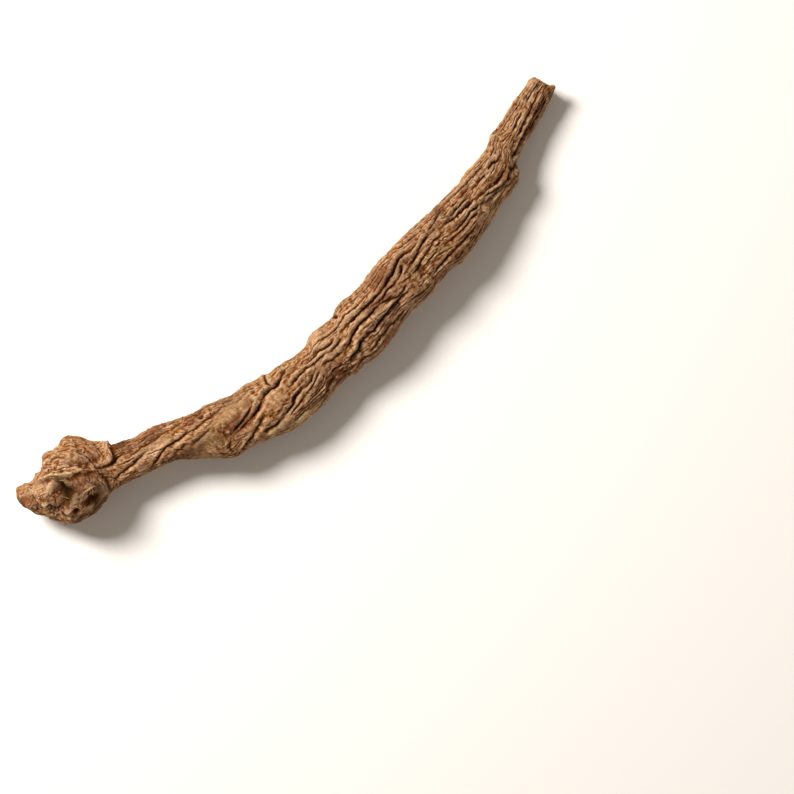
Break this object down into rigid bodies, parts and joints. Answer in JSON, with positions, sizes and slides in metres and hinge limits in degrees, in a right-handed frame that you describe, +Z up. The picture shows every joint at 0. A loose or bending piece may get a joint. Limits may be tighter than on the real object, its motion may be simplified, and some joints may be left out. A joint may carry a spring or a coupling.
{
  "type": "dried teasel root",
  "caption": "Whole dried root with a knobbly two-lobed crown, a narrow neck, a slightly curved, deeply wrinkled body, rootlet scars and a cut tip, lying flat.",
  "frame": {"origin": "centre of the root's outline seen from above, on the surface that it lies on", "axes": "+X along the root from the crown to the cut tip, +Z up, away from the surface that it lies on"},
  "size_m": [0.1524, 0.031, 0.0155],
  "materials": {
    "bark": "matte"
  },
  "bodies": {
    "root": {"teasel_root": "bark"}
  },
  "joints": []
}
